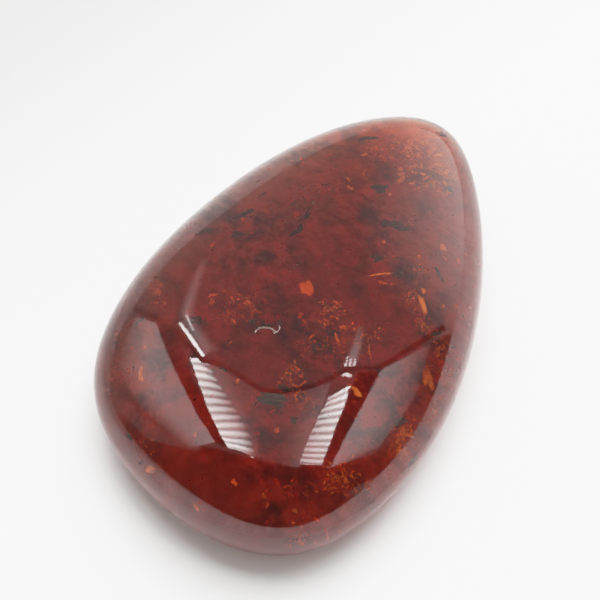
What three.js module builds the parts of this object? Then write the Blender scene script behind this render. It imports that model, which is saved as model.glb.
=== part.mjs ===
// A teardrop of polished amber: one natural piece, domed above, with a flat ground back.
// Millimetres, +Z up. The tip points along +Y, and the origin lies on the surface that the stone
// rests on, under the middle of its box.
import * as THREE from "three";

// Driving dimensions of the stone, in millimetres
const LENGTH = 38; // from the round end to the tip, along Y
const WIDTH = 25.2; // across the widest place, along X
const THICKNESS = 11.4; // from the flat back to the top of the dome
const GIRDLE_HEIGHT = 4; // height of the widest line round the stone
const APEX = new THREE.Vector2(0.8, -4.5); // the top of the dome, nearer the round end

// Poles of the closed outline curve seen from above, in millimetres, clockwise from the tip.
// One flank is a little fuller than the other, and the round end is slightly lopsided.
const OUTLINE_POLES = [
  [0.7, 20.4],
  [5.4, 16.9],
  [10.6, 7.8],
  [13.1, -3.2],
  [11.4, -12.8],
  [7.4, -18.5],
  [0, -19.3],
  [-7.4, -16.8],
  [-12.2, -12.2],
  [-13.3, -3.8],
  [-10.6, 7.5],
  [-5.8, 16.1],
];

// The crown is rounder than the outline: near its top, level lines are ovals of this size
const CROWN_HALF_WIDTH = 10.8;
const CROWN_HALF_LENGTH = 15.5;

// The shoulder between crown and girdle is full on three sides and lean on the three between,
// as grinding leaves it. These are millimetres added at full strength, and the full side's turn
// from the round end towards +X.
const SHOULDER_MEAN = -0.8;
const SHOULDER_SWING = 2;
const SHOULDER_TURN = THREE.MathUtils.degToRad(17);

// The flat back reaches this share of the way from under the apex out to the girdle
const FLAT_SHARE = 0.66;

// Fineness of the faceted solid
const STEPS_PER_POLE = 6;
const DOME_RINGS = 18;
const BACK_RINGS = 9;

const AMBER = { color: 0x7d2a1d, roughness: 0.06, metalness: 0 };

// A point of the closed, uniform cubic curve that the poles pull, at share t past pole i.
function curvePoint(poles, i, t) {
  const weights = [
    (1 - t) ** 3,
    3 * t ** 3 - 6 * t ** 2 + 4,
    -3 * t ** 3 + 3 * t ** 2 + 3 * t + 1,
    t ** 3,
  ];
  const point = new THREE.Vector2();
  weights.forEach((weight, j) => {
    const [x, y] = poles[(i + j) % poles.length];
    point.x += (weight * x) / 6;
    point.y += (weight * y) / 6;
  });
  return point;
}

// The outline as points, stretched to WIDTH by LENGTH and centred on the origin.
function stoneOutline() {
  const points = [];
  for (let i = 0; i < OUTLINE_POLES.length; i++)
    for (let step = 0; step < STEPS_PER_POLE; step++)
      points.push(curvePoint(OUTLINE_POLES, i, step / STEPS_PER_POLE));
  const box = new THREE.Box2().setFromPoints(points);
  const middle = box.getCenter(new THREE.Vector2());
  const stretch = new THREE.Vector2(WIDTH, LENGTH).divide(
    box.getSize(new THREE.Vector2()),
  );
  return points.map((p) => p.sub(middle).multiply(stretch));
}

// How much fuller the shoulder is in a direction out from the apex, in millimetres.
function shoulder(direction) {
  const turn = Math.atan2(direction.x, -direction.y);
  return SHOULDER_MEAN + SHOULDER_SWING * Math.cos(3 * (turn - SHOULDER_TURN));
}

// One level line of the dome: the outline drawn in to a share of its reach from the apex. It turns
// into the crown's oval towards the top, and it has the shoulder's swells on the way down.
function domeLine(outline, share, z) {
  return outline.map((p) => {
    const direction = p.clone().sub(APEX);
    const edge = direction.length();
    direction.normalize();
    const oval =
      1 /
      Math.hypot(
        direction.x / CROWN_HALF_WIDTH,
        direction.y / CROWN_HALF_LENGTH,
      );
    const inward = 1 - share ** 2;
    const swell = shoulder(direction) * share ** 2 * inward;
    const reach = share * (edge + (oval - edge) * inward + swell);
    return [APEX.x + direction.x * reach, APEX.y + direction.y * reach, z];
  });
}

// One level line below the girdle: the outline drawn in evenly.
function backLine(outline, share, z) {
  return outline.map((p) => {
    const point = APEX.clone().lerp(p, share);
    return [point.x, point.y, z];
  });
}

// Level lines from just under the apex down to the edge of the flat back. The dome is a quarter
// of an ellipse in section, and so is the rounded lower edge.
function levelLines(outline) {
  const lines = [];
  for (let ring = 1; ring <= DOME_RINGS; ring++) {
    const angle = (ring / DOME_RINGS) * (Math.PI / 2);
    const share = Math.sin(angle);
    const z = GIRDLE_HEIGHT + (THICKNESS - GIRDLE_HEIGHT) * Math.cos(angle);
    lines.push(domeLine(outline, share, z));
  }
  for (let ring = 1; ring <= BACK_RINGS; ring++) {
    const angle = (ring / BACK_RINGS) * (Math.PI / 2);
    const share = FLAT_SHARE + (1 - FLAT_SHARE) * Math.cos(angle);
    const z = GIRDLE_HEIGHT * (1 - Math.sin(angle));
    lines.push(backLine(outline, share, z));
  }
  return lines;
}

// The closed skin: a fan at the apex, bands between level lines, and a fan on the flat back.
function stoneGeometry() {
  const outline = stoneOutline();
  const lines = levelLines(outline);
  const around = outline.length;
  const points = [
    [APEX.x, APEX.y, THICKNESS],
    ...lines.flat(),
    [APEX.x, APEX.y, 0],
  ];
  const last = points.length - 1;
  const faces = [];
  for (let k = 0; k < around; k++) {
    const next = (k + 1) % around;
    faces.push(0, 1 + next, 1 + k);
    for (let line = 0; line + 1 < lines.length; line++) {
      const upper = 1 + line * around;
      const lower = upper + around;
      faces.push(upper + k, upper + next, lower + next);
      faces.push(upper + k, lower + next, lower + k);
    }
    faces.push(last, last - around + k, last - around + next);
  }
  const geometry = new THREE.BufferGeometry();
  geometry.setAttribute(
    "position",
    new THREE.Float32BufferAttribute(points.flat(), 3),
  );
  geometry.setIndex(faces);
  geometry.computeVertexNormals();
  return geometry;
}

const stone = new THREE.Mesh(
  stoneGeometry(),
  new THREE.MeshStandardMaterial(AMBER),
);
stone.name = "amber_stone";

const teardrop = new THREE.Group();
teardrop.add(stone);

export default teardrop;
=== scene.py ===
import math

import bpy
import numpy as np
from mathutils import Matrix, Vector, noise
from mathutils.bvhtree import BVHTree
from mathutils.interpolate import poly_3d_calc


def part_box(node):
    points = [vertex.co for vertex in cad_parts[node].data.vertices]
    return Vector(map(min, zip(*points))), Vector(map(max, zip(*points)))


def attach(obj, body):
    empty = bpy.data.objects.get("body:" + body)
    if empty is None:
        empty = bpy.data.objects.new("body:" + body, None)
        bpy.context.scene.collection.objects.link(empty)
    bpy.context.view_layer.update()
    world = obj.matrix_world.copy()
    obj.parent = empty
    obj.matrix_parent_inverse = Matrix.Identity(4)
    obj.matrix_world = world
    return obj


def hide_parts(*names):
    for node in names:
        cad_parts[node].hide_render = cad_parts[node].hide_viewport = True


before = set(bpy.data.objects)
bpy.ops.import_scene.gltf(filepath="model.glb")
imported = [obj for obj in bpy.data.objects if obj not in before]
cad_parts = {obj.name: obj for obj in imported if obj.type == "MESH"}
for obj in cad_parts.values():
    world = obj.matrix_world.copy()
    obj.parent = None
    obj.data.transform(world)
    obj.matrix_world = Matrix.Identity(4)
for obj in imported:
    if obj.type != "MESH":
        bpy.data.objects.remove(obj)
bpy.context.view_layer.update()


# The view
# A close-up lens looks down on the stone from beyond its round end, so that the tip points away
# to the upper right of the picture.
MM = 0.001
PICTURE_SIDE = 600
SENSOR_WIDTH = 36
LENS = 100
VIEW_AZIMUTH = math.radians(28)
VIEW_ELEVATION = math.radians(60)
VIEW_DISTANCE = 122.44 * MM
VIEW_TARGET = Vector((-1.06, 0.18, 4.0)) * MM
NEAREST_SEEN = 5 * MM
FARTHEST_SEEN = 10

away = Vector(
    (
        math.sin(VIEW_AZIMUTH) * math.cos(VIEW_ELEVATION),
        -math.cos(VIEW_AZIMUTH) * math.cos(VIEW_ELEVATION),
        math.sin(VIEW_ELEVATION),
    )
)
camera = bpy.data.objects.new("camera", bpy.data.cameras.new("camera"))
bpy.context.scene.collection.objects.link(camera)
camera.data.lens = LENS
camera.data.sensor_width = SENSOR_WIDTH
camera.data.clip_start = NEAREST_SEEN
camera.data.clip_end = FARTHEST_SEEN
camera.matrix_world = (
    Matrix.Translation(VIEW_TARGET + away * VIEW_DISTANCE)
    @ away.to_track_quat("Z", "Y").to_matrix().to_4x4()
)
bpy.context.scene.camera = camera


def sight_line(x, y):
    """Start and direction of the line of sight through a spot of the picture."""
    pixels_per_slope = LENS / SENSOR_WIDTH * PICTURE_SIDE
    half = PICTURE_SIDE / 2
    slope = Vector(((x - half) / pixels_per_slope, (half - y) / pixels_per_slope, -1))
    turn = camera.matrix_world.to_3x3()
    return camera.matrix_world.translation.copy(), (turn @ slope).normalized()


# The sheet and the daylight
# The stone lies on a sheet of white card, painted darker beyond the stone to the back left as
# painted shade that the stone mirrors. Soft light falls on it from all round, except from the
# side of the viewer, where the room is darker.
SHEET_RADIUS = 1500 * MM
SHEET_RINGS = 12
SHEET_SIDES = 96
SHEET_GAP = 0.03 * MM
SHEET_WHITE = 0.86
SHEET_FIBRE_SCALE = 900.0
SHEET_FIBRE_SHADE = 0.995
SHEET_ROUGHNESS = 0.9
SHEET_SPECULAR = 0.2
SHEET_PAINTED_SHADE = 0.5
SHEET_PAINTED_SHADE_TURN = math.radians(-40)
SHEET_PAINTED_SHADE_REACH = (5 * MM, 45 * MM)
DAYLIGHT = (1, 0.985, 0.97, 1)
SKY = 0.8
SEEN_WORLD = 2.4
WALL = 2.6
WALL_TURN = math.radians(42)
WALL_REACH = 0.7
WALL_FALLOFF = 1.6
ROOM = 0.22
ROOM_TURN = math.radians(8)
ROOM_EDGE = (0.38, 0.52)


def tree_of(owner):
    """Clears the node tree of a material or world and returns it."""
    owner.use_nodes = True
    owner.node_tree.nodes.clear()
    return owner.node_tree


def add(tree, kind, settings=None, **inputs):
    """Adds a node. Inputs go by name, or by number as in i0, and take a value or an output."""
    node = tree.nodes.new(kind)
    for name, value in (settings or {}).items():
        setattr(node, name, value)
    for name, value in inputs.items():
        key = int(name[1:]) if name[0] == "i" and name[1:].isdigit() else name.replace("_", " ")
        if isinstance(value, bpy.types.NodeSocket):
            tree.links.new(value, node.inputs[key])
        else:
            node.inputs[key].default_value = value
    return node


def ramp(tree, factor, stops):
    """A colour ramp. Each stop is a place from 0 to 1 and a colour or a grey."""
    node = add(tree, "ShaderNodeValToRGB", Fac=factor)
    points = node.color_ramp.elements
    while len(points) < len(stops):
        points.new(0.5)
    for point, (place, shade) in zip(points, stops):
        point.position = place
        red, green, blue = shade if isinstance(shade, tuple) else (shade, shade, shade)
        point.color = (red, green, blue, 1)
    return node.outputs["Color"]


def round_sheet(radius, z, rings, around):
    """A flat disc of rings that get wider outwards."""
    turns = [2 * math.pi * k / around for k in range(around)]
    points = [(0, 0, z)]
    for ring in range(1, rings + 1):
        reach = radius * (ring / rings) ** 3
        points += [(reach * math.cos(turn), reach * math.sin(turn), z) for turn in turns]
    faces = [(0, 1 + k, 1 + (k + 1) % around) for k in range(around)]
    for ring in range(rings - 1):
        inner = 1 + ring * around
        for k in range(around):
            after = (k + 1) % around
            faces.append((inner + k, inner + around + k, inner + around + after, inner + after))
    mesh = bpy.data.meshes.new("white_sheet")
    mesh.from_pydata(points, [], faces)
    return mesh


sheet_mesh = round_sheet(SHEET_RADIUS, -SHEET_GAP, SHEET_RINGS, SHEET_SIDES)
sheet = bpy.data.objects.new("white_sheet", sheet_mesh)
bpy.context.scene.collection.objects.link(sheet)


def level_direction(turn):
    """A level direction, turned clockwise from straight away from the viewer."""
    heading = Vector((-away.x, -away.y, 0)).normalized()
    heading.rotate(Matrix.Rotation(-turn, 3, "Z"))
    return heading


def nearness(tree, place, direction):
    """How far each place lies along a direction."""
    node = add(
        tree, "ShaderNodeVectorMath", {"operation": "DOT_PRODUCT"}, i0=place, i1=tuple(direction)
    )
    return node.outputs["Value"]


def mapped(tree, value, start, end, low, high, blend="LINEAR"):
    """A value mapped from one range to another, and held at its ends."""
    node = add(
        tree,
        "ShaderNodeMapRange",
        {"interpolation_type": blend},
        Value=value,
        From_Min=start,
        From_Max=end,
        To_Min=low,
        To_Max=high,
    )
    return node.outputs[0]


def maths(tree, operation, first, second):
    """A Math node of two inputs, each a number or an output socket."""
    return add(tree, "ShaderNodeMath", {"operation": operation}, i0=first, i1=second).outputs[0]


def dimmed(tree, colour, share):
    """A colour times a share, both of them output sockets."""
    node = add(tree, "ShaderNodeVectorMath", {"operation": "SCALE"}, i0=colour, Scale=share)
    return node.outputs["Vector"]


def add_surface(tree, volume=None, **inputs):
    """Adds the surface shader with its inputs, and the material's output."""
    surface = add(tree, "ShaderNodeBsdfPrincipled", **inputs).outputs["BSDF"]
    output = add(tree, "ShaderNodeOutputMaterial", Surface=surface)
    if volume:
        tree.links.new(volume, output.inputs["Volume"])


card = bpy.data.materials.new("white_card")
tree = tree_of(card)
where = add(tree, "ShaderNodeTexCoord").outputs["Object"]
fibre = add(tree, "ShaderNodeTexNoise", Vector=where, Scale=SHEET_FIBRE_SCALE, Detail=3.0)
tint = ramp(
    tree, fibre.outputs["Fac"], [(0.3, SHEET_WHITE * SHEET_FIBRE_SHADE), (0.7, SHEET_WHITE)]
)
# Painted shade: the card's colour darkens on its far side to the back left, so that the stone
# mirrors a dimmer sheet there.
towards_painted_shade = nearness(tree, where, level_direction(SHEET_PAINTED_SHADE_TURN))
shade = mapped(tree, towards_painted_shade, *SHEET_PAINTED_SHADE_REACH, 1, SHEET_PAINTED_SHADE / SHEET_WHITE, "SMOOTHSTEP")
add_surface(
    tree,
    Base_Color=dimmed(tree, tint, shade),
    Roughness=SHEET_ROUGHNESS,
    Specular_IOR_Level=SHEET_SPECULAR,
)
sheet.data.materials.append(card)

world = bpy.data.worlds.new("daylight")
bpy.context.scene.world = world
tree = tree_of(world)
where = add(tree, "ShaderNodeTexCoord").outputs["Generated"]
wall = mapped(tree, nearness(tree, where, level_direction(WALL_TURN)), WALL_REACH, 1, 0, 1)
wall = maths(tree, "MULTIPLY", maths(tree, "POWER", wall, WALL_FALLOFF), WALL)
towards_room = nearness(tree, where, level_direction(math.pi + ROOM_TURN))
light_left = mapped(tree, towards_room, *ROOM_EDGE, 1, 0, "SMOOTHSTEP")
strength = maths(tree, "ADD", wall, SKY - ROOM)
strength = maths(tree, "ADD", maths(tree, "MULTIPLY", strength, light_left), ROOM)
lit = add(tree, "ShaderNodeBackground", Color=DAYLIGHT, Strength=strength)
seen = add(tree, "ShaderNodeBackground", Color=(1, 1, 1, 1), Strength=SEEN_WORLD)
straight = add(tree, "ShaderNodeLightPath").outputs["Is Camera Ray"]
both = add(tree, "ShaderNodeMixShader", i0=straight, i1=lit.outputs[0], i2=seen.outputs[0])
add(tree, "ShaderNodeOutputWorld", Surface=both.outputs[0])

# The camera's own tone curve: the brightest tones are pressed together below white. Its points
# are scene brightness and the brightness that is shown.
TONE_WHITE = 4
TONE_CURVE = [(0.25, 0.25), (0.5, 0.49), (1, 0.78), (1.5, 0.9), (2, 0.945), (3, 0.98), (4, 1)]
settings = bpy.context.scene.view_settings
settings.view_transform = "Standard"
settings.use_curve_mapping = True
settings.curve_mapping.white_level = (TONE_WHITE, TONE_WHITE, TONE_WHITE)
tone_curve = settings.curve_mapping.curves[3]
tone_curve.points[1].location = (1, 1)
for scene_tone, shown_tone in TONE_CURVE[:-1]:
    tone_curve.points.new(scene_tone / TONE_WHITE, shown_tone)
settings.curve_mapping.update()


# The amber
# One piece of clear, deep red-brown fossil resin, sawn, ground to a teardrop with a flat back and
# polished by hand, which leaves its surface very slightly wavy.
APEX = np.array([0.8, -4.5]) * MM
GIRDLE_HEIGHT = 4 * MM
CROWN_HALF_WIDTH = 10.8 * MM
CROWN_HALF_LENGTH = 15.5 * MM
SHOULDER_MEAN = -0.8 * MM
SHOULDER_SWING = 2 * MM
SHOULDER_TURN = math.radians(17)
FLAT_SHARE = 0.66
OUTLINE_POLES = np.array(
    [
        (0.7, 20.4),
        (5.4, 16.9),
        (10.6, 7.8),
        (13.1, -3.2),
        (11.4, -12.8),
        (7.4, -18.5),
        (0, -19.3),
        (-7.4, -16.8),
        (-12.2, -12.2),
        (-13.3, -3.8),
        (-10.6, 7.5),
        (-5.8, 16.1),
    ]
)
STEPS_PER_POLE = 26
DOME_RINGS = 110
BACK_RINGS = 46
BACK_FILL_RINGS = 12
WAVE_HEIGHT = 0.004 * MM
WAVE_LENGTH = 5 * MM
WAVES_ABOVE = 0.5 * MM
WAVE_PLACE = Vector((3.1, 7.7, 1.9))
AMBER_IOR = 1.54
ABSORPTION_COLOUR = (0.84, 0.43, 0.1)
ABSORPTION_DENSITY = 425.0
POLISH_ROUGHNESS = (0.012, 0.04)
WIPING_SCALE = 260.0
GROUND_BELOW = (1.2 * MM, 3.0 * MM)
GROUND_ROUGHNESS = 0.6
SCRATCH_SCALE = 1200.0
SCRATCH_STRETCH = (9.0, 0.5, 9.0)
SCRATCH_TURN = 0.5
SCRATCH_STRENGTH = 0.03
SCRATCH_DEPTH = 0.02 * MM
MOTTLE_SCALE = 700.0
DRIFT_SCALE = 200.0
STAIN_COLOURS = [
    (0.36, (0.2, 0.18, 0.18)),
    (0.45, (0.42, 0.34, 0.3)),
    (0.54, (0.7, 0.6, 0.5)),
    (0.62, (1.0, 1.0, 1.0)),
]
TIP_STAIN = (0.8, 0.16, 0.05)
TIP_STAIN_REACH = (8 * MM, 15 * MM)
ROUND_END_STAIN = 0.45
ROUND_END_REACH = (-17 * MM, -9 * MM)

stone_low, stone_high = (Vector(corner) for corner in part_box("amber_stone"))
stone_size = stone_high - stone_low


def stone_outline():
    """Points of the closed outline, stretched to the stone's width and length."""
    t = np.arange(STEPS_PER_POLE)[:, None] / STEPS_PER_POLE
    weights = (
        (1 - t) ** 3 / 6,
        (3 * t**3 - 6 * t**2 + 4) / 6,
        (-3 * t**3 + 3 * t**2 + 3 * t + 1) / 6,
        t**3 / 6,
    )
    spans = []
    for i in range(len(OUTLINE_POLES)):
        poles = [OUTLINE_POLES[(i + j) % len(OUTLINE_POLES)] for j in range(4)]
        spans.append(sum(weight * pole for weight, pole in zip(weights, poles)))
    points = np.concatenate(spans)
    low, high = points.min(axis=0), points.max(axis=0)
    size = np.array(stone_size[:2])
    return (points - (low + high) / 2) / (high - low) * size


def dome_line(outline, share, z):
    """A level line of the dome: the outline drawn in, towards the crown's oval near the top."""
    reach = outline - APEX
    edge = np.hypot(reach[:, 0], reach[:, 1])
    side, ahead = reach[:, 0] / edge, reach[:, 1] / edge
    oval = 1 / np.hypot(side / CROWN_HALF_WIDTH, ahead / CROWN_HALF_LENGTH)
    turn = np.arctan2(side, -ahead)
    shoulder = SHOULDER_MEAN + SHOULDER_SWING * np.cos(3 * (turn - SHOULDER_TURN))
    inward = 1 - share**2
    radius = share * (edge + (oval - edge) * inward + shoulder * share**2 * inward)
    return np.column_stack(
        [APEX[0] + side * radius, APEX[1] + ahead * radius, np.full(len(edge), z)]
    )


def back_line(outline, share, z):
    """A level line below the widest one: the outline drawn in evenly."""
    return np.column_stack([APEX + (outline - APEX) * share, np.full(len(outline), z)])


def stone_skin():
    """Points and faces of the closed, smooth stone."""
    outline = stone_outline()
    lines = []
    for ring in range(1, DOME_RINGS + 1):
        angle = ring / DOME_RINGS * math.pi / 2
        z = GIRDLE_HEIGHT + (stone_size.z - GIRDLE_HEIGHT) * math.cos(angle)
        lines.append(dome_line(outline, math.sin(angle), z))
    for ring in range(1, BACK_RINGS + 1):
        angle = ring / BACK_RINGS * math.pi / 2
        share = FLAT_SHARE + (1 - FLAT_SHARE) * math.cos(angle)
        lines.append(back_line(outline, share, GIRDLE_HEIGHT * (1 - math.sin(angle))))
    for ring in range(1, BACK_FILL_RINGS):
        lines.append(back_line(outline, FLAT_SHARE * (1 - ring / BACK_FILL_RINGS), 0))
    around = len(outline)
    points = np.vstack([[(*APEX, stone_size.z)], *lines, [(*APEX, 0)]])
    k = np.arange(around)
    after = (k + 1) % around
    faces = [(0, 1 + b, 1 + a) for a, b in zip(k, after)]
    for line in range(len(lines) - 1):
        upper = 1 + line * around
        lower = upper + around
        faces += zip(upper + k, upper + after, lower + after, lower + k)
    last = len(points) - 1
    faces += [(last, last - around + a, last - around + b) for a, b in zip(k, after)]
    return points, [tuple(int(corner) for corner in face) for face in faces]


def new_piece(name, points, faces, smooth=True):
    """A mesh object in the scene."""
    mesh = bpy.data.meshes.new(name)
    mesh.from_pydata([tuple(point) for point in points], [], faces)
    mesh.validate()
    mesh.polygons.foreach_set("use_smooth", [smooth] * len(mesh.polygons))
    piece = bpy.data.objects.new(name, mesh)
    bpy.context.scene.collection.objects.link(piece)
    return piece


stone_points, stone_faces = stone_skin()
stone = new_piece("polished_amber", stone_points, stone_faces)

# The even surface, before the polishing waves, tells where each line of sight meets the stone.
stone_tree = BVHTree.FromPolygons([Vector(p) for p in stone_points], stone_faces)
even_normals = [vertex.normal.copy() for vertex in stone.data.vertices]


def meet_stone(x, y):
    """Where the line of sight through a spot of the picture meets the stone, and the normal."""
    start, direction = sight_line(x, y)
    spot, _, face, _ = stone_tree.ray_cast(start, direction)
    if spot is None:
        raise ValueError(f"no stone at {x}, {y}")
    corners = stone_faces[face]
    shares = poly_3d_calc([Vector(stone_points[c]) for c in corners], spot)
    normal = sum((even_normals[c] * s for c, s in zip(corners, shares)), Vector())
    return spot, direction, normal.normalized()


for vertex, normal in zip(stone.data.vertices, even_normals):
    if vertex.co.z > WAVES_ABOVE:
        wave = noise.noise(vertex.co / WAVE_LENGTH + WAVE_PLACE)
        vertex.co += normal * wave * WAVE_HEIGHT

amber = bpy.data.materials.new("polished_amber")
tree = tree_of(amber)
where = add(tree, "ShaderNodeTexCoord").outputs["Object"]
place = add(tree, "ShaderNodeSeparateXYZ", Vector=where).outputs

# The stain on the ground back is mottled, more so where a slow drift is high. It reddens towards
# the tip and darkens towards the round end.
mottle = add(
    tree,
    "ShaderNodeTexNoise",
    Vector=where,
    Scale=MOTTLE_SCALE,
    Detail=5.0,
    Roughness=0.6,
    Distortion=0.3,
)
drift = add(tree, "ShaderNodeTexNoise", Vector=where, Scale=DRIFT_SCALE, Detail=2.0).outputs["Fac"]
stain = mapped(tree, mottle.outputs["Fac"], 0, 1, -0.5, 0.5)
stain = maths(tree, "MULTIPLY", stain, mapped(tree, drift, 0.35, 0.6, 0.3, 1.2))
stain = maths(tree, "ADD", stain, 0.5)
stain = maths(tree, "ADD", stain, mapped(tree, drift, 0.3, 0.7, 0.08, -0.02))
stain = ramp(tree, stain, STAIN_COLOURS)
tip = mapped(tree, place["Y"], *TIP_STAIN_REACH, 0, 1, "SMOOTHSTEP")
stain = add(
    tree,
    "ShaderNodeMix",
    {"data_type": "RGBA", "blend_type": "MULTIPLY"},
    i0=tip,
    i6=stain,
    i7=(*TIP_STAIN, 1),
).outputs[2]
round_end = mapped(tree, place["Y"], *ROUND_END_REACH, ROUND_END_STAIN, 1, "SMOOTHSTEP")
stain = dimmed(tree, stain, round_end)
below = mapped(tree, place["Z"], *GROUND_BELOW, 1, 0, "SMOOTHSTEP")
tint = add(
    tree, "ShaderNodeMix", {"data_type": "RGBA"}, i0=below, i6=(1, 1, 1, 1), i7=stain
).outputs[2]

# The dome is wiped to a high gloss that varies a little, with hair-fine scratches.
wiping = add(tree, "ShaderNodeTexNoise", Vector=where, Scale=WIPING_SCALE, Detail=5.0)
gloss = mapped(tree, wiping.outputs["Fac"], 0.35, 0.75, *POLISH_ROUGHNESS)
gloss = maths(tree, "MAXIMUM", gloss, maths(tree, "MULTIPLY", below, GROUND_ROUGHNESS))
along = add(
    tree,
    "ShaderNodeMapping",
    Vector=where,
    Rotation=(0, 0, SCRATCH_TURN),
    Scale=SCRATCH_STRETCH,
)
scratches = add(
    tree, "ShaderNodeTexNoise", Vector=along.outputs[0], Scale=SCRATCH_SCALE, Detail=2.0
)
relief = add(
    tree,
    "ShaderNodeBump",
    Strength=SCRATCH_STRENGTH,
    Distance=SCRATCH_DEPTH,
    Height=scratches.outputs["Fac"],
)
depth = add(
    tree,
    "ShaderNodeVolumeAbsorption",
    Color=(*ABSORPTION_COLOUR, 1),
    Density=ABSORPTION_DENSITY,
)
add_surface(
    tree,
    volume=depth.outputs["Volume"],
    Base_Color=tint,
    Roughness=gloss,
    IOR=AMBER_IOR,
    Normal=relief.outputs["Normal"],
    Transmission_Weight=1.0,
)
stone.data.materials.append(amber)
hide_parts("amber_stone")
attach(stone, "root")


# The lamps round the sheet
# Two ribbed strip lamps hang above the sheet, with a pale panel between them and a bright pane
# outside each. Dark gaps part them. The polished dome mirrors them round its blunt end.
LAMP_DISTANCE = 600 * MM
HAZE_DISTANCE = LAMP_DISTANCE + 20 * MM
EDGE_GAP_DISTANCE = LAMP_DISTANCE + 40 * MM
GAP_DISTANCE = 560 * MM
LOWEST_LAMP = 5 * MM
LAMP_FILL_STEPS = 4
LEFT_RIBS = 12
RIGHT_RIBS = 11
RIB_SWING = (0.5, 1.5)
SOFT_BOX_SIDE = 800 * MM
SOFT_BOX_DISTANCE = 900 * MM
SOFT_BOX_TURN = math.radians(14)
SOFT_BOX_ELEVATION = math.radians(66)
SOFT_BOX_POWER = 18


def mirrored_spot(x, y, distance):
    """The spot at a distance that the stone mirrors at a spot of the picture."""
    spot, direction, normal = meet_stone(x, y)
    mirrored = direction - 2 * direction.dot(normal) * normal
    far = spot + mirrored * distance
    far.z = max(far.z, LOWEST_LAMP)
    return far


def between(items):
    """A list of arrays with the steps between each two of them filled in."""
    filled = [items[0]]
    for before, after in zip(items, items[1:]):
        for step in range(1, LAMP_FILL_STEPS + 1):
            filled.append(before + (after - before) * step / LAMP_FILL_STEPS)
    return np.array(filled)


def point_values(piece, label, values):
    """Gives each point of a piece's mesh a value that its material can read."""
    attribute = piece.data.attributes.new(label, "FLOAT", "POINT")
    attribute.data.foreach_set("value", values)


def point_value(tree, label):
    """The value of each point, as a node's output."""
    return add(tree, "ShaderNodeAttribute", {"attribute_name": label}).outputs["Fac"]


def lamp(name, rows, ribs=0, distance=LAMP_DISTANCE):
    """A lamp from rows of (x, y, glow) along it, each row with as many spots."""
    rows = between(np.array(rows, dtype=float))
    rows = np.array([between(row) for row in rows])
    long, wide = rows.shape[:2]
    points = [mirrored_spot(x, y, distance) for row in rows for x, y, _ in row]
    corners = [row * wide + column for row in range(long - 1) for column in range(wide - 1)]
    faces = [(a, a + 1, a + wide + 1, a + wide) for a in corners]
    piece = new_piece(name, points, faces, smooth=False)
    point_values(piece, "glow", [glow for row in rows for _, _, glow in row])
    point_values(piece, "length", [row / (long - 1) for row in range(long) for _ in range(wide)])
    light = bpy.data.materials.new(name)
    tree = tree_of(light)
    strength = point_value(tree, "glow")
    if ribs:
        turns = maths(tree, "MULTIPLY", point_value(tree, "length"), ribs * 2 * math.pi)
        wave = add(tree, "ShaderNodeMath", {"operation": "SINE"}, i0=turns).outputs[0]
        strength = maths(tree, "MULTIPLY", strength, mapped(tree, wave, -1, 1, *RIB_SWING))
    glowing = add(tree, "ShaderNodeEmission", Color=DAYLIGHT, Strength=strength)
    add(tree, "ShaderNodeOutputMaterial", Surface=glowing.outputs[0])
    piece.data.materials.append(light)
    piece.visible_camera = False
    piece.visible_diffuse = False
    piece.visible_shadow = False


# What the stone mirrors where: rows of spots along each lamp or dark gap. A spot is x, y in the
# picture and the glow there.
LEFT_PANE = [
    [(136, 317, 1.6), (146, 320, 2.4), (156, 323, 3.0)],
    [(124, 340, 1.0), (146, 343, 3.0), (164, 345, 3.0)],
    [(118, 365, 0.9), (148, 367, 3.2), (174, 369, 2.8)],
    [(122, 388, 0.6), (156, 392, 3.2), (187, 395, 3.0)],
    [(138, 410, 0.4), (170, 413, 3.0), (197, 415, 3.2)],
    [(162, 430, 0.4), (188, 431, 3.2), (208, 431, 3.5)],
    [(190, 447, 1.6), (203, 445, 3.2), (215, 442, 3.8)],
]
RIGHT_PANE = [
    [(382, 370, 3.6), (405, 358, 2.6), (430, 344, 1.0)],
    [(370, 391, 3.6), (396, 382, 2.8), (424, 370, 0.8)],
    [(359, 412, 3.8), (386, 404, 3.0), (416, 395, 1.0)],
    [(347, 434, 3.8), (371, 428, 3.4), (400, 421, 1.6)],
    [(336, 456, 3.6), (355, 451, 3.2), (380, 446, 1.6)],
    [(331, 467, 3.6), (339, 464, 2.6), (352, 461, 0.8)],
]
LEFT_STRIP = [
    [(190, 358, 18), (196, 358, 14), (208, 362, 2.4)],
    [(195, 373, 15), (205, 374, 12), (217, 378, 2.2)],
    [(201, 390, 12), (212, 391, 9), (228, 394, 2)],
    [(207, 407, 13), (219, 407, 9), (236, 408, 1.8)],
    [(215, 424, 14), (229, 423, 9), (246, 423, 1.8)],
    [(222, 438, 16), (237, 440, 11), (253, 442, 1.8)],
    [(228, 448, 18), (242, 452, 14), (255, 457, 2)],
]
LEFT_STRIP_EDGE = [
    [(178, 323, 8), (179.5, 323, 22), (181.5, 322, 8)],
    [(188, 337, 10), (189.8, 336.5, 26), (192, 335.5, 8)],
    [(202, 357, 14), (203.6, 356.5, 30), (205.4, 355.5, 6)],
]
LEFT_STRIP_RIB = [
    [(185, 315, 4), (186.5, 315, 12), (188, 315, 3)],
    [(192, 331, 4), (193.4, 330.6, 10), (195, 330, 2)],
]
LEFT_STRIP_HAZE = [
    [(180, 318, 1.2), (187, 316, 1.4), (195, 315, 0.9)],
    [(193, 335, 2.4), (197, 333, 2.6), (205, 332, 1.0)],
    [(206, 355, 2.4), (210, 352, 2.0), (219, 350, 1.0)],
]
LEFT_STRIP_FAR = [
    [(199, 262, 0.9), (204, 260, 1.3), (209, 258, 0.9)],
    [(188, 288, 0.9), (194, 288, 2.0), (201, 287, 0.9)],
    [(179, 312, 1.0), (186, 311, 2.4), (195, 310, 0.9)],
    [(182, 326, 1.2), (190, 323, 2.8), (200, 321, 0.9)],
]
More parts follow.
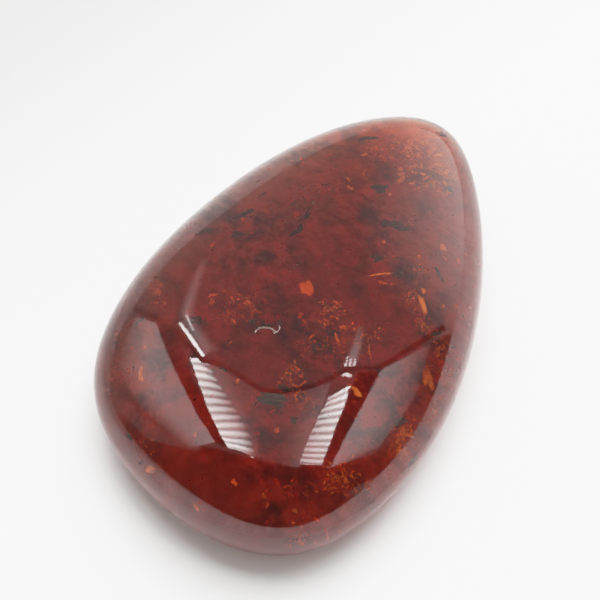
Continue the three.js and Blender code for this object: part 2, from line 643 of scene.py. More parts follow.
RIGHT_STRIP = [
    [(329, 397, 7), (340, 391, 13), (350, 386, 18)],
    [(322, 410, 7), (333, 407, 12), (345, 404, 16)],
    [(315, 424, 6), (327, 422, 11), (338, 421, 14)],
    [(308, 440, 6), (320, 440, 10), (331, 440, 12)],
    [(303, 453, 6), (315, 453, 9), (326, 453, 10)],
    [(299, 464, 6), (310, 465, 8), (321, 466, 9)],
]
RIGHT_STRIP_FAR = [
    [(356, 326, 0.8), (361, 326, 1.2), (366, 326, 0.8)],
    [(350, 345, 0.9), (356, 345, 2.8), (363, 345, 0.9)],
    [(344, 366, 1.2), (350, 366, 4.6), (357, 366, 1.0)],
]
RIGHT_STRIP_DASHES = [
    [(344, 367, 12), (347, 357, 12), (348, 357, 18), (346, 367, 18)],
    [(348, 367, 12), (350.5, 358, 12), (351.5, 358, 18), (350, 367, 18)],
    [(352, 367, 10), (354.5, 359, 10), (355.5, 359, 14), (354, 367, 14)],
]
RIGHT_STRIP_END = [
    [(341, 373.5, 12), (347, 374, 20), (352, 375, 14)],
    [(340, 376.5, 10), (346, 377, 16), (351, 378, 10)],
]
CENTRE_PANEL = [
    [(209, 364, 2.4), (232, 374, 1.2), (262, 392, 1.0), (296, 393, 1.0), (330, 383, 1.6)],
    [(219, 384, 2.4), (240, 396, 1.4), (266, 408, 1.1), (296, 408, 1.1), (326, 400, 2.2)],
    [(237, 412, 2.2), (252, 420, 1.3), (270, 428, 1.0), (292, 428, 1.2), (314, 424, 2.4)],
    [(247, 430, 2.0), (258, 438, 1.1), (274, 446, 0.9), (288, 448, 1.2), (306, 444, 2.2)],
    [(255, 456, 1.6), (263, 459, 0.9), (276, 463, 0.7), (288, 466, 1.0), (298, 468, 1.8)],
]
FAR_GAP = [
    [(131, 307, 0.45), (130, 310, 0.45)],
    [(158, 316, 0.5), (157, 321, 0.5)],
    [(178, 330, 0.45), (176, 336, 0.45)],
    [(204, 359, 0.45), (202, 363, 0.45)],
    [(216, 360, 0.5), (214, 364, 0.5)],
    [(234, 369, 0.5), (232, 373, 0.5)],
    [(262, 387, 0.4), (261, 392, 0.4)],
    [(287, 389, 0.35), (287, 394, 0.35)],
    [(312, 384, 0.35), (313, 388, 0.35)],
    [(328, 377, 0.4), (330, 381, 0.4)],
    [(347, 368, 0.4), (349, 372, 0.4)],
    [(378, 366, 0.35), (380, 370, 0.35)],
    [(412, 344, 0.35), (414, 349.5, 0.35)],
    [(443, 324, 0.35), (446, 329.5, 0.35)],
]
LEFT_GAP = [
    [(158, 322, 0.6), (175, 323, 0.6)],
    [(165, 345, 0.5), (183, 349, 0.5)],
    [(175, 369, 0.35), (190, 372, 0.35)],
    [(188, 395, 0.22), (200, 393, 0.22)],
    [(198, 415, 0.22), (209, 414, 0.22)],
    [(209, 431, 0.22), (217, 430, 0.22)],
    [(216, 443, 0.22), (226, 448, 0.22)],
]
RIGHT_GAP = [
    [(357, 373, 0.25), (380, 372, 0.25)],
    [(352, 386, 0.22), (370, 388, 0.22)],
    [(347, 404, 0.22), (360, 408, 0.22)],
    [(340, 421, 0.22), (351, 424, 0.22)],
    [(333, 440, 0.22), (341, 443, 0.22)],
    [(323, 466, 0.22), (330, 466, 0.22)],
]
RIGHT_EDGE_GAP = [
    [(426, 345, 0.7), (444, 336, 0.3), (464, 330, 0.7)],
    [(419, 374, 0.55), (439, 366, 0.3), (460, 358, 0.6)],
    [(409, 398, 0.6), (432, 392, 0.35), (452, 386, 0.5)],
    [(391, 423, 0.8), (415, 420, 0.5), (437, 416, 0.55)],
    [(371, 448, 0.7), (390, 446, 0.5), (410, 444, 0.5)],
]
OPENING = [
    [(120, 412, 0.5), (110, 424, 0.3), (122, 450, 0.3)],
    [(150, 440, 0.3), (140, 455, 0.22), (150, 475, 0.2)],
    [(176, 446, 0.3), (168, 460, 0.2), (175, 485, 0.2)],
    [(197, 452, 0.2), (193, 468, 0.2), (200, 495, 0.2)],
    [(203, 446.5, 0.2), (205, 466, 0.2), (212, 498, 0.2)],
    [(219, 449, 0.2), (219, 468, 0.2), (228, 502, 0.2)],
    [(233, 454, 0.2), (236, 472, 0.2), (240, 505, 0.2)],
    [(255, 460, 0.2), (256, 478, 0.2), (258, 508, 0.2)],
    [(278, 466, 0.2), (277, 482, 0.2), (278, 510, 0.2)],
    [(298, 469, 0.2), (300, 485, 0.2), (300, 508, 0.2)],
    [(304, 465, 0.2), (312, 483, 0.2), (318, 503, 0.2)],
    [(322, 465.5, 0.2), (324, 482, 0.2), (334, 498, 0.2)],
    [(328, 469, 0.2), (336, 480, 0.2), (348, 492, 0.2)],
    [(345, 463, 0.2), (352, 473, 0.2), (362, 484, 0.2)],
    [(372, 455, 0.3), (376, 463, 0.22), (382, 474, 0.2)],
    [(398, 436, 0.5), (402, 444, 0.3), (406, 454, 0.3)],
]
lamp("left_pane", LEFT_PANE)
lamp("right_pane", RIGHT_PANE)
lamp("left_strip", LEFT_STRIP, ribs=LEFT_RIBS)
lamp("left_strip_haze", LEFT_STRIP_HAZE, distance=HAZE_DISTANCE)
lamp("left_strip_edge", LEFT_STRIP_EDGE)
lamp("left_strip_rib", LEFT_STRIP_RIB)
lamp("left_strip_far", LEFT_STRIP_FAR, distance=HAZE_DISTANCE)
lamp("right_strip", RIGHT_STRIP, ribs=RIGHT_RIBS)
lamp("right_strip_far", RIGHT_STRIP_FAR, distance=HAZE_DISTANCE)
for number, (a, b, c, d) in enumerate(RIGHT_STRIP_DASHES):
    lamp(f"right_strip_dash_{number}", [[b, c], [a, d]])
lamp("right_strip_end", RIGHT_STRIP_END)
lamp("centre_panel", CENTRE_PANEL)
lamp("far_gap", FAR_GAP, distance=GAP_DISTANCE)
lamp("left_gap", LEFT_GAP, distance=GAP_DISTANCE)
lamp("right_gap", RIGHT_GAP, distance=GAP_DISTANCE)
lamp("right_edge_gap", RIGHT_EDGE_GAP, distance=EDGE_GAP_DISTANCE)
lamp("opening", OPENING, distance=GAP_DISTANCE)

# Out of sight behind the stone, a soft box lights the sheet and draws the shadow to the front.
towards_box = level_direction(SOFT_BOX_TURN) * math.cos(SOFT_BOX_ELEVATION)
towards_box.z = math.sin(SOFT_BOX_ELEVATION)
soft_box = bpy.data.objects.new("soft_box", bpy.data.lights.new("soft_box", "AREA"))
bpy.context.scene.collection.objects.link(soft_box)
soft_box.data.size = SOFT_BOX_SIDE
soft_box.data.energy = SOFT_BOX_POWER
soft_box.location = towards_box * SOFT_BOX_DISTANCE
soft_box.rotation_euler = towards_box.to_track_quat("Z", "Y").to_euler()
soft_box.visible_glossy = False
soft_box.visible_transmission = False


# Sun spangles
# Flat, crumpled cracks inside the resin, thinner than a hair. They shine orange near the surface
# and red further down, where more amber lies above them.
SPANGLE_SEED = 11
SPANGLE_COUNT = 280
SPANGLE_THICKNESS = 0.03 * MM
SPANGLE_RINGS = (0.75, 0.4)
SPANGLE_CRUMPLE = 0.5
PLACED_TILT = 0.15
SKIN = 0.15 * MM
FLAKE_LIFT = 0.25
FLAKE_RIPPLE = 0.8 * MM
LOBE_SHARE = 0.9
NIBBLE_SHARE = 0.45
CLUSTER_REACH = 1.3
CLUSTER_DEPTHS = (0.6, 1.3)
CLUSTER_SIZES_MM = (0.2, 0.7)  # the least, and how much more at most
CLUSTER_SLIMNESS = (0.2, 0.6)
CLUSTER_TILT = 0.4
LOOSE_SIZES_MM = (0.12, 0.45)  # the least, and how much more at most
LOOSE_SLIMNESS = (0.3, 0.9)
LOOSE_TILT = 0.35
LOOSE_TONES = (0.3, 0.9)
CROWD_PATCH = 5 * MM
CROWD_DRIFT = 40 * MM
CRACK_SCALE = 3000.0
CRACK_CONTRAST = 0.25
CRACK_ROUGHNESS = 0.55
CRACK_SPECULAR = 0.1
CRACK_RIM_TONE = 0.5
CRACK_COLOURS = [
    (0.0, (0.16, 0.014, 0.004)),
    (0.25, (0.3, 0.04, 0.006)),
    (0.6, (0.6, 0.13, 0.012)),
    (1.0, (0.95, 0.34, 0.05)),
]


def inside_stone(x, y, depth_mm):
    """The spot at a depth below the surface, along the line of sight bent by the amber."""
    spot, direction, normal = meet_stone(x, y)
    ratio = 1 / AMBER_IOR
    cosine = -direction.dot(normal)
    sine_2 = ratio * ratio * (1 - cosine * cosine)
    bent = ratio * direction + (ratio * cosine - math.sqrt(1 - sine_2)) * normal
    return spot + bent.normalized() * depth_mm * MM


def kept_inside(spot):
    """The spot itself, or the nearest one that lies a little below the stone's surface."""
    near, normal, _, _ = stone_tree.find_nearest(spot)
    below = (near - spot).dot(normal)
    return spot if below > SKIN else near - normal * SKIN


def ragged_rim(rng, corners, crumple):
    """How far a flake's rim reaches at each corner, as a share of its half size."""
    lobes = rng.uniform(0, 2 * math.pi, 3)
    reaches = []
    for k in range(corners):
        angle = 2 * math.pi * k / corners
        swell = sum(math.sin((n + 2) * angle + lobe) / (n + 2) for n, lobe in enumerate(lobes))
        reaches.append(1 + crumple * (LOBE_SHARE * swell + NIBBLE_SHARE * rng.uniform(-1, 1)))
    return reaches


def flake_faces(first, corners, rings):
    """Faces of one flake, from its rim over each ring to a middle point, above and below."""
    rim = [first + k for k in range(corners)]
    starts = [first + corners * (1 + 2 * ring) for ring in range(rings)]
    above = [rim] + [[start + 2 * k for k in range(corners)] for start in starts]
    under = [rim] + [[start + 2 * k + 1 for k in range(corners)] for start in starts]
    middle = first + corners * (1 + 2 * rings)
    faces = []
    for k in range(corners):
        after = (k + 1) % corners
        for ring in range(rings):
            outer, inner = above[ring : ring + 2]
            faces.append((inner[k], outer[k], outer[after], inner[after]))
            outer, inner = under[ring : ring + 2]
            faces.append((inner[k], inner[after], outer[after], outer[k]))
        faces.append((middle, above[-1][k], above[-1][after]))
        faces.append((middle + 1, under[-1][after], under[-1][k]))
    return faces


def flakes(name, rows, rng, corners=14, rings=(0.55,), crumple=0.3):
    """Thin closed flakes in one mesh, each with a tone, and a core that falls to 0 at its rim.

    A row is centre, normal, spin, length, width, thickness and tone.
    """
    points, faces, tones, cores = [], [], [], []
    for centre, normal, spin, length, width, thickness, tone in rows:
        normal = normal.normalized()
        side = normal.orthogonal().normalized()
        side.rotate(Matrix.Rotation(spin, 3, normal))
        other = normal.cross(side)
        lift = normal * thickness / 2
        first = len(points)
        rim = ragged_rim(rng, corners, crumple)
        for share in (1, *rings):
            for k in range(corners):
                angle = 2 * math.pi * k / corners
                reach = share * rim[k]
                spot = (
                    centre
                    + side * (math.cos(angle) * reach * length / 2)
                    + other * (math.sin(angle) * reach * width / 2)
                )
                spot += normal * FLAKE_LIFT * width * noise.noise(spot / FLAKE_RIPPLE)
                spot = kept_inside(spot)
                if share == 1:
                    points.append(spot)
                    cores.append(0)
                else:
                    points += [spot + lift, spot - lift]
                    cores += [1 - share] * 2
        points += [centre + lift, centre - lift]
        cores += [1, 1]
        faces += flake_faces(first, corners, len(rings))
        tones += [tone] * (len(points) - first)
    piece = new_piece(name, points, faces)
    point_values(piece, "tone", tones)
    point_values(piece, "core", cores)
    crease = piece.data.attributes.new("sharp_edge", "BOOLEAN", "EDGE")
    crease.data.foreach_set(
        "value", [max(cores[corner] for corner in edge.vertices) == 0 for edge in piece.data.edges]
    )
    return piece


def level_normal(rng, tilt):
    """A direction near straight up, tilted at random by about so many radians."""
    return Vector((rng.normal(0, tilt), rng.normal(0, tilt), 1))


def random_size(rng, least, spread, power=2):
    """A random size in metres: the least in millimetres and a share of the spread, mostly small."""
    return (least + spread * rng.uniform() ** power) * MM


def strewn(rng, spot, tilt, size, slimness, thickness, tones):
    """The row of a flake with a random tilt, spin, width and tone."""
    return (
        spot,
        level_normal(rng, tilt),
        rng.uniform(0, math.pi),
        size,
        size * rng.uniform(*slimness),
        thickness,
        rng.uniform(*tones),
    )


def scattered(rng, margin=0.5 * MM):
    """A random spot inside the stone."""
    while True:
        x = rng.uniform(stone_low.x, stone_high.x)
        y = rng.uniform(stone_low.y, stone_high.y)
        top = stone_tree.ray_cast(Vector((x, y, 1)), Vector((0, 0, -1)))[0]
        bottom = stone_tree.ray_cast(Vector((x, y, -1)), Vector((0, 0, 1)))[0]
        if top and top.z - bottom.z > 6 * margin:
            return Vector((x, y, rng.uniform(bottom.z + margin, top.z - margin)))


def crowding(spot):
    """How likely a random crack stays at a spot, before what its section adds."""
    return noise.fractal(spot / CROWD_PATCH, 0.8, 2.0, 3)


PLACED_SPANGLES = [
    # x, y, depth mm, length mm, width mm, turn in degrees, tone
    (307, 288, 3.4, 1.5, 0.8, 70, 1.1),
    (338, 305, 2.6, 0.5, 0.4, 20, 0.6),
    (381, 274, 1.2, 1.3, 0.22, -5, 1.0),
    (384, 283, 1.8, 0.5, 0.2, -5, 0.7),
    (392, 284, 1.8, 0.3, 0.2, -5, 0.6),
    (423, 305, 1.3, 1.8, 0.4, 88, 0.95),
    (424, 291, 1.2, 0.6, 0.35, 80, 0.85),
    (417, 283, 1.0, 1.3, 0.07, 60, 0.5),
    (443, 248, 1.5, 0.9, 0.45, -60, 0.75),
    (419, 257, 1.8, 0.35, 0.3, 0, 0.6),
    (415, 270, 1.8, 0.3, 0.3, 0, 0.6),
    (384, 242, 2.2, 0.4, 0.3, 0, 0.8),
    (350, 188, 1.7, 0.6, 0.5, 85, 0.6),
    (366, 179, 1.6, 0.25, 0.25, 0, 0.7),
    (415, 166, 1.4, 0.4, 0.4, 0, 0.8),
    (411, 153, 1.6, 0.4, 0.3, 60, 0.7),
    (428, 378, 1.2, 2.2, 0.8, 86, 0.75),
    (441, 372, 1.2, 0.35, 0.3, 0, 0.65),
    (449, 374, 1.2, 0.3, 0.2, 0, 0.5),
    (356, 391, 0.8, 1.2, 0.45, -58, 1.0),
    (337, 338, 2.0, 0.8, 0.3, 80, 0.7),
    (399, 449, 1.3, 0.6, 0.5, 10, 0.85),
    (402, 432, 1.4, 0.8, 0.6, 60, 0.7),
    (246, 302, 2.6, 0.4, 0.3, 0, 0.8),
    (141, 375, 1.0, 1.1, 0.5, 80, 0.75),
    (145, 347, 1.2, 0.6, 0.3, 100, 0.65),
    (132, 348, 1.2, 0.3, 0.3, 0, 0.6),
    (150, 470, 0.9, 0.9, 0.6, -30, 0.7),
    (345, 481, 1.6, 0.3, 0.3, 0, 0.75),
    (288, 486, 2.0, 0.5, 0.3, 0, 0.5),
    (456, 306, 1.2, 0.3, 0.2, 0, 0.6),
    (443, 306, 1.2, 0.4, 0.3, 0, 0.6),
]

SPANGLE_CLUSTERS = [
    # x, y, spread across and up the picture, depth mm, number, tone
    (423, 162, 17, 16, 1.4, 70, 0.75),
    (380, 150, 14, 7, 1.5, 18, 0.5),
    (447, 180, 6, 12, 1.3, 16, 0.6),
    (340, 315, 12, 10, 2.8, 26, 0.6),
    (318, 345, 16, 10, 3.0, 20, 0.4),
    (235, 308, 18, 10, 3.0, 34, 0.5),
    (290, 375, 10, 8, 2.6, 16, 0.5),
    (415, 290, 8, 16, 2.2, 16, 0.4),
    (440, 355, 5, 10, 1.6, 14, 0.4),
    (402, 440, 5, 8, 1.5, 16, 0.7),
    (340, 480, 10, 6, 2.0, 20, 0.6),
    (158, 290, 5, 10, 1.8, 14, 0.5),
    (150, 445, 10, 6, 1.6, 14, 0.4),
    (112, 375, 3, 12, 1.3, 10, 0.35),
    (290, 490, 20, 5, 2.4, 16, 0.35),
    (365, 345, 12, 8, 2.6, 14, 0.5),
]

rng = np.random.default_rng(SPANGLE_SEED)
rows = [
    (
        inside_stone(x, y, depth_mm),
        level_normal(rng, PLACED_TILT),
        math.radians(turn),
        length * MM,
        width * MM,
        SPANGLE_THICKNESS,
        tone,
    )
    for x, y, depth_mm, length, width, turn, tone in PLACED_SPANGLES
]
for x, y, across, upward, depth_mm, number, tone in SPANGLE_CLUSTERS:
    for _ in range(number):
        aside, above = np.clip(rng.normal(0, 1, 2), -CLUSTER_REACH, CLUSTER_REACH)
        size = random_size(rng, *CLUSTER_SIZES_MM)
        depth = depth_mm * rng.uniform(*CLUSTER_DEPTHS)
        spot = inside_stone(x + aside * across, y + above * upward, depth)
        tones = (tone - 0.25, tone + 0.15)
        rows.append(
            strewn(rng, spot, CLUSTER_TILT, size, CLUSTER_SLIMNESS, SPANGLE_THICKNESS, tones)
        )

# Loose spangles are thickest towards the tip and the right.
loose = len(rows) + SPANGLE_COUNT
while len(rows) < loose:
    spot = scattered(rng)
    if rng.uniform() > crowding(spot) + 0.3 + (spot.x + 0.5 * spot.y) / CROWD_DRIFT:
        continue
    size = random_size(rng, *LOOSE_SIZES_MM)
    rows.append(
        strewn(rng, spot, LOOSE_TILT, size, LOOSE_SLIMNESS, SPANGLE_THICKNESS, LOOSE_TONES)
    )
spangles = flakes("sun_spangles", rows, rng, rings=SPANGLE_RINGS, crumple=SPANGLE_CRUMPLE)


def crack_material(name, scale, contrast):
    """Thin cracks that are mottled at a scale. They are as dark as the resin at their rim."""
    crack = bpy.data.materials.new(name)
    tree = tree_of(crack)
    where = add(tree, "ShaderNodeTexCoord").outputs["Object"]
    mottle = add(tree, "ShaderNodeTexNoise", Vector=where, Scale=scale, Detail=4.0)
    core = mapped(tree, point_value(tree, "core"), 0, 0.4, CRACK_RIM_TONE, 1, "SMOOTHSTEP")
    shine = mapped(tree, mottle.outputs["Fac"], 0.25, 0.75, -contrast, contrast)
    shine = maths(tree, "ADD", maths(tree, "MULTIPLY", point_value(tree, "tone"), core), shine)
    add_surface(
        tree,
        Base_Color=ramp(tree, shine, CRACK_COLOURS),
        Roughness=CRACK_ROUGHNESS,
        Specular_IOR_Level=CRACK_SPECULAR,
    )
    return crack


spangles.data.materials.append(crack_material("bright_crack", CRACK_SCALE, CRACK_CONTRAST))
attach(spangles, "root")


# Fine cracks
# Clouds of hair cracks and bubbles, each too small to see alone. They glow as soft red and orange
# mottling, most of it in the right half and the tip.
GRAIN_SEED = 23
GRAIN_CLOUDS = 60
GRAIN_LENGTH = 0.15 * MM
GRAIN_LENGTHS = (0.25, 0.75)
GRAIN_WIDTH = 0.07 * MM
GRAIN_WIDTHS = (0.3, 0.7)
GRAIN_THICKNESS = 0.03 * MM
GRAIN_TILT = 0.3
GRAIN_TURN = 0.5
GRAIN_PATCH = 0.55 * MM
GRAIN_PATCH_EDGE = 0.35
GRAIN_TONE_SPREAD = 0.1
CLOUD_MARGIN = 0.8 * MM
CLOUD_SIZES_MM = (0.7, 2.2)
CLOUD_SLIMNESS = (0.4, 0.8)
CLOUD_TURNS = (20, 45)  # middle and spread in degrees
CLOUD_TONES = (0.5, 1)
CLOUD_COVERS = (0.15, 0.4)
GRAIN_MOTTLE_SCALE = 1500.0
GRAIN_CONTRAST = 0.15


def grain_points(rng, spot, heading):
    """The six points of a fine, flat grain: four round it, one above and one below."""
    up = Vector((0, 0, 1))
    tilt = level_normal(rng, GRAIN_TILT).normalized()
    side = heading.copy()
    side.rotate(Matrix.Rotation(rng.normal(0, GRAIN_TURN), 3, up))
    other = tilt.cross(side).normalized()
    side = other.cross(tilt)
    long = side * GRAIN_LENGTH * rng.uniform(*GRAIN_LENGTHS)
    wide = other * GRAIN_WIDTH * rng.uniform(*GRAIN_WIDTHS)
    thick = tilt * GRAIN_THICKNESS / 2
    return [spot + long, spot + wide, spot - long, spot - wide, spot + thick, spot - thick]


def grain_clouds(name, rows, rng):
    """Clouds of fine, flat grains in one mesh. Each cloud thins out from its middle to its rim.

    A row is centre, heading, length, width, tone and the share of the view that it covers.
    """
    points, faces, tones = [], [], []
    up = Vector((0, 0, 1))
    for centre, heading, length, width, tone, cover in rows:
        across = up.cross(heading)
        number = int(cover * length * width / (GRAIN_LENGTH * GRAIN_WIDTH))
        for _ in range(number):
            along, aside, lift = rng.normal(0, 1, 3)
            spot = centre + heading * (along * length / 4) + across * (aside * width / 4)
            spot += up * (lift * width / 8)
            if noise.noise(spot / GRAIN_PATCH) < rng.uniform(-GRAIN_PATCH_EDGE, GRAIN_PATCH_EDGE):
                continue
            first = len(points)
            points += grain_points(rng, kept_inside(spot), heading)
            for k in range(4):
                a, b = first + k, first + (k + 1) % 4
                faces += [(a, b, first + 4), (b, a, first + 5)]
            tones += [tone + rng.normal(0, GRAIN_TONE_SPREAD)] * 6
    piece = new_piece(name, points, faces, smooth=False)
    point_values(piece, "tone", tones)
    point_values(piece, "core", [1] * len(tones))
    return piece


def picture_heading(turn):
    """A level direction, turned anticlockwise in degrees from the right of the picture."""
    return level_direction(math.radians(90 - turn))


PLACED_CLOUDS = [
    # x, y, depth mm, length mm, width mm, turn in degrees, tone, cover
    (424, 150, 1.2, 5.0, 3.2, -35, 0.9, 0.48),
    (437, 165, 1.2, 3.6, 2.6, -50, 0.85, 0.4),
    (452, 174, 1.0, 2.4, 1.4, -70, 0.7, 0.4),
    (453, 142, 0.8, 1.4, 0.9, -60, 0.85, 0.4),
    (423, 187, 1.4, 3.0, 1.0, 30, 0.85, 0.4),
    (400, 130, 0.9, 4.4, 1.2, 5, 0.65, 0.36),
    (430, 130, 0.8, 2.6, 1.0, -20, 0.7, 0.36),
    (380, 150, 1.4, 4.2, 1.6, 20, 0.7, 0.32),
    (362, 170, 1.3, 1.8, 0.8, -50, 0.85, 0.4),
    (405, 175, 1.7, 3.0, 2.0, -20, 0.65, 0.32),
    (420, 265, 1.5, 2.6, 1.0, 85, 0.75, 0.32),
    (410, 300, 1.5, 3.0, 1.6, -60, 0.7, 0.32),
    (332, 308, 1.8, 2.0, 1.6, -20, 0.85, 0.48),
    (345, 325, 2.0, 2.4, 1.6, -30, 0.7, 0.4),
    (426, 324, 1.0, 1.8, 1.0, 10, 1.0, 0.56),
    (440, 348, 1.0, 2.6, 1.4, -60, 0.7, 0.4),
    (448, 380, 1.0, 3.2, 1.0, 80, 0.65, 0.4),
    (435, 410, 1.0, 3.4, 1.2, 65, 0.65, 0.4),
    (401, 440, 1.0, 2.6, 1.3, 78, 1.0, 0.64),
    (413, 427, 1.2, 1.6, 0.9, 60, 0.85, 0.48),
    (400, 460, 1.0, 3.0, 1.2, 40, 0.7, 0.4),
    (370, 453, 1.0, 1.2, 0.7, 20, 0.7, 0.36),
    (370, 335, 1.8, 2.6, 1.6, 30, 0.7, 0.32),
    (345, 345, 2.0, 3.0, 1.6, 40, 0.65, 0.36),
    (316, 342, 2.1, 2.0, 1.4, 0, 0.65, 0.32),
    (324, 322, 2.0, 1.0, 0.8, 0, 0.9, 0.4),
    (338, 478, 1.4, 2.6, 2.0, 0, 0.8, 0.48),
    (353, 492, 1.0, 2.2, 1.0, 20, 0.75, 0.4),
    (152, 468, 0.7, 1.4, 0.8, -30, 0.85, 0.48),
    (118, 333, 1.0, 1.4, 0.8, -30, 0.75, 0.4),
    (155, 281, 1.4, 1.8, 0.5, -40, 0.8, 0.4),
    (160, 302, 1.4, 1.8, 0.5, -55, 0.8, 0.4),
    (238, 298, 2.1, 2.6, 1.2, -20, 0.75, 0.4),
    (250, 304, 2.0, 1.4, 0.8, -20, 0.9, 0.48),
    (292, 371, 1.8, 2.0, 1.6, 60, 0.75, 0.48),
    (294, 394, 1.2, 1.8, 0.6, 50, 0.95, 0.56),
    (303, 402, 1.7, 2.0, 1.4, 0, 0.7, 0.4),
]
rng = np.random.default_rng(GRAIN_SEED)
rows = []
for x, y, depth_mm, length, width, turn, tone, cover in PLACED_CLOUDS:
    centre = inside_stone(x, y, depth_mm)
    rows.append((centre, picture_heading(turn), length * MM, width * MM, tone, cover))
while len(rows) < GRAIN_CLOUDS:
    spot = scattered(rng, CLOUD_MARGIN)
    if rng.uniform() > crowding(spot) + 0.4 + spot.x / CROWD_DRIFT:
        continue
    size = rng.uniform(*CLOUD_SIZES_MM) * MM
    heading = picture_heading(rng.normal(*CLOUD_TURNS))
    tone = rng.uniform(*CLOUD_TONES)
    width = size * rng.uniform(*CLOUD_SLIMNESS)
    rows.append((spot, heading, size, width, tone, rng.uniform(*CLOUD_COVERS)))
cracks = grain_clouds("fine_cracks", rows, rng)
cracks.data.materials.append(crack_material("fine_crack", GRAIN_MOTTLE_SCALE, GRAIN_CONTRAST))
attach(cracks, "root")


# Plant dust
# Shreds and crumbs of bark and soil that the resin ran over, drawn out into dark streaks. Three
# of the placed flakes paint the shade inside the shallow bubble under the crown.
DUST_SEED = 5
DUST_COUNT = 140
DUST_THICKNESS = 0.04 * MM
DUST_CORNERS = 16
DUST_CRUMPLE = 0.4
SHREDS_PER_ROW = 2
SHRED_SHARES = (0.5, 0.9)
CRUMB_SIZES_MM = (0.05, 0.3)  # the least, and how much more at most
CRUMB_SLIMNESS = (0.3, 0.8)
CRUMB_TILT = 0.5
CRUMB_TONES = (0.2, 0.6)
BARK_SCALE = 3000.0
BARK_CONTRAST = 0.3
BARK_COLOURS = [(0.0, (0.06, 0.011, 0.007)), (0.4, (0.09, 0.026, 0.018)), (1.0, (0.1, 0.075, 0.07))]


def spin_along(normal, heading):
    """The spin that lays a flake's length along a heading."""
    normal = normal.normalized()
    side = normal.orthogonal().normalized()
    return math.atan2(normal.cross(side).dot(heading), side.dot(heading))


PLACED_DUST = [
    # x, y, depth mm, length mm, width mm, turn in degrees, tone
    (243, 215, 1.2, 1.5, 0.6, 5, 0.3),
    (250, 210, 1.4, 0.7, 0.25, 5, 0.3),
    (305, 217, 1.4, 1.8, 0.45, 65, 0.2),
    (297, 231, 1.6, 1.4, 0.5, 50, 0.3),
    (202, 232, 1.8, 1.3, 0.5, 30, 0.5),
    (239, 233, 2.2, 1.2, 0.6, 10, 0.5),
    (381, 190, 2.2, 1.8, 0.9, 10, 0.7),
    (363, 138, 1.6, 1.5, 0.5, 10, 0.7),
    (441, 134, 1.0, 1.0, 0.5, -20, 0.7),
    (449, 189, 1.4, 0.9, 0.8, 0, 0.7),
    (398, 228, 2.4, 1.8, 0.8, -10, 0.6),
    (381, 260, 1.8, 1.3, 0.6, 0, 0.5),
    (398, 272, 1.8, 1.2, 0.6, 60, 0.5),
    (440, 275, 1.4, 1.3, 0.4, -60, 0.5),
    # These three dark flakes are painted shade inside the shallow bubble under the crown.
    (266, 325, 1.0, 2.0, 0.35, -4, 0.3),
    (253, 322, 1.2, 0.6, 0.5, 80, 0.6),
    (281, 323, 1.3, 0.5, 0.5, 80, 0.6),
    (200, 322, 2.6, 1.2, 0.7, 0, 0.6),
    (226, 369, 1.2, 0.8, 0.35, 0, 0.6),
    (277, 385, 1.0, 1.3, 0.5, -20, 0.2),
    (268, 395, 0.8, 2.8, 0.7, -4, 0.9),
    (289, 391, 0.9, 1.4, 0.45, 10, 0.3),
    (277, 404, 0.8, 2.2, 0.5, -8, 1.0),
    (294, 420, 1.4, 0.7, 0.6, 0, 0.7),
    (313, 346, 2.2, 1.1, 0.5, 0, 0.6),
    (333, 333, 2.4, 1.0, 0.4, 0, 0.5),
    (436, 333, 0.8, 1.1, 0.4, 35, 0.8),
    (452, 346, 1.0, 0.6, 0.3, -30, 0.5),
    (404, 421, 1.1, 1.1, 0.5, 10, 0.8),
    (411, 463, 0.9, 1.2, 0.5, 30, 0.9),
    (129, 437, 1.1, 0.8, 0.4, -50, 0.3),
    (139, 322, 1.0, 0.9, 0.4, 30, 0.8),
]
rng = np.random.default_rng(DUST_SEED)
rows = []
for x, y, depth_mm, length, width, turn, tone in PLACED_DUST:
    heading = picture_heading(turn)
    for _ in range(SHREDS_PER_ROW):
        shift = heading * (rng.normal(0, 0.2) * length * MM)
        shift += Vector((0, 0, 1)).cross(heading) * (rng.normal(0, 0.15) * width * MM)
        normal = level_normal(rng, PLACED_TILT)
        rows.append(
            (
                inside_stone(x, y, depth_mm + rng.uniform(0, 0.4)) + shift,
                normal,
                spin_along(normal, heading) + rng.normal(0, 0.3),
                length * rng.uniform(*SHRED_SHARES) * MM,
                width * rng.uniform(*SHRED_SHARES) * MM,
                DUST_THICKNESS,
                tone,
            )
        )
while len(rows) < DUST_COUNT:
    size = random_size(rng, *CRUMB_SIZES_MM, power=3)
    spot = scattered(rng)
    rows.append(strewn(rng, spot, CRUMB_TILT, size, CRUMB_SLIMNESS, DUST_THICKNESS, CRUMB_TONES))
dust = flakes("plant_dust", rows, rng, corners=DUST_CORNERS, crumple=DUST_CRUMPLE)

bark = bpy.data.materials.new("bark_dust")
tree = tree_of(bark)
where = add(tree, "ShaderNodeTexCoord").outputs["Object"]
grain = add(tree, "ShaderNodeTexNoise", Vector=where, Scale=BARK_SCALE, Detail=3.0)
shade = mapped(tree, grain.outputs["Fac"], 0.3, 0.7, -BARK_CONTRAST, BARK_CONTRAST)
shade = maths(tree, "ADD", point_value(tree, "tone"), shade)
add_surface(
    tree, Base_Color=ramp(tree, shade, BARK_COLOURS), Roughness=0.9, Specular_IOR_Level=0.0
)
dust.data.materials.append(bark)
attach(dust, "root")
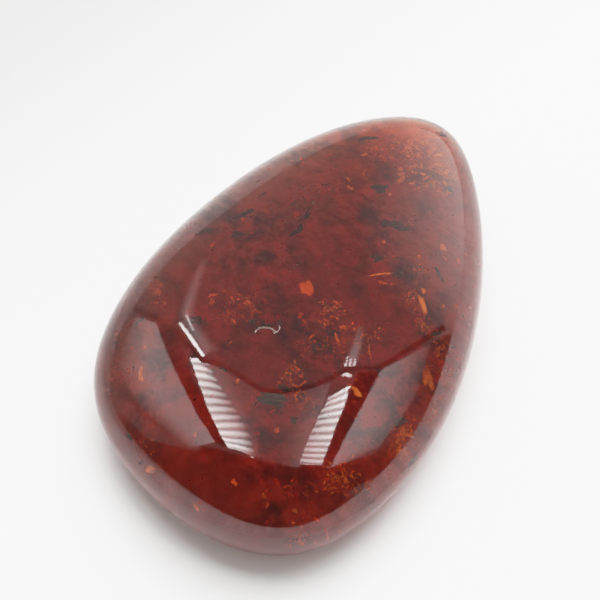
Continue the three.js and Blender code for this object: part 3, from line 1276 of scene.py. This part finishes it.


# Painted glints
# Pale flakes just under the surface paint the highlights of a shallow bubble under the crown,
# seen as two fine pale arcs, and the glints of light caught in pinholes of the surface.
GLINT_SEED = 3
GLINT_DEPTH_MM = 0.18
GLINT_THICKNESS = 0.03 * MM
GLINT_CORNERS = 8
GLINT_TILT = 0.2
GLINT_ARC_SPOT_MM = 0.13
GLINT_PAINT_SCALE = 5000.0
GLINT_PAINT_COLOURS = [(0.3, (0.45, 0.38, 0.35)), (0.7, (0.8, 0.72, 0.68))]
GLINT_SPECKS = [
    # x, y, size mm
    (296, 205, 0.10),
    (290, 196, 0.07),
    (284, 187, 0.07),
    (313, 203, 0.10),
    (316, 206, 0.07),
    (290, 272, 0.10),
    (294, 268, 0.08),
    (297, 265, 0.08),
    (285, 283, 0.09),
    (313, 286, 0.07),
    (252, 457, 0.16),
    (318, 266, 0.08),
    (322, 270, 0.07),
    (441, 253, 0.10),
    (426, 224, 0.07),
]
GLINT_ARCS = [
    # middle x, y, half width, half height, first and last angle in degrees, number of spots
    (265, 333, 10, 5.5, 190, 350, 24),
    (273, 328, 6.5, 5.0, -20, 80, 12),
]
spots = list(GLINT_SPECKS)
for x, y, wide, high, first, last, number in GLINT_ARCS:
    for angle in np.radians(np.linspace(first, last, number)):
        spots.append((x + wide * math.cos(angle), y + high * math.sin(angle), GLINT_ARC_SPOT_MM))
rng = np.random.default_rng(GLINT_SEED)
rows = [
    (
        inside_stone(x, y, GLINT_DEPTH_MM),
        level_normal(rng, GLINT_TILT),
        rng.uniform(0, math.pi),
        size * MM,
        size * rng.uniform(0.6, 1) * MM,
        GLINT_THICKNESS,
        0,
    )
    for x, y, size in spots
]
glint_flakes = flakes("painted_glints", rows, rng, corners=GLINT_CORNERS)

# A pale, grainy colour that paints the glints of light.
glint_paint = bpy.data.materials.new("painted_glint")
tree = tree_of(glint_paint)
where = add(tree, "ShaderNodeTexCoord").outputs["Object"]
grain = add(tree, "ShaderNodeTexNoise", Vector=where, Scale=GLINT_PAINT_SCALE, Detail=2.0)
add_surface(tree, Base_Color=ramp(tree, grain.outputs["Fac"], GLINT_PAINT_COLOURS), Roughness=0.7)
glint_flakes.data.materials.append(glint_paint)
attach(glint_flakes, "root")
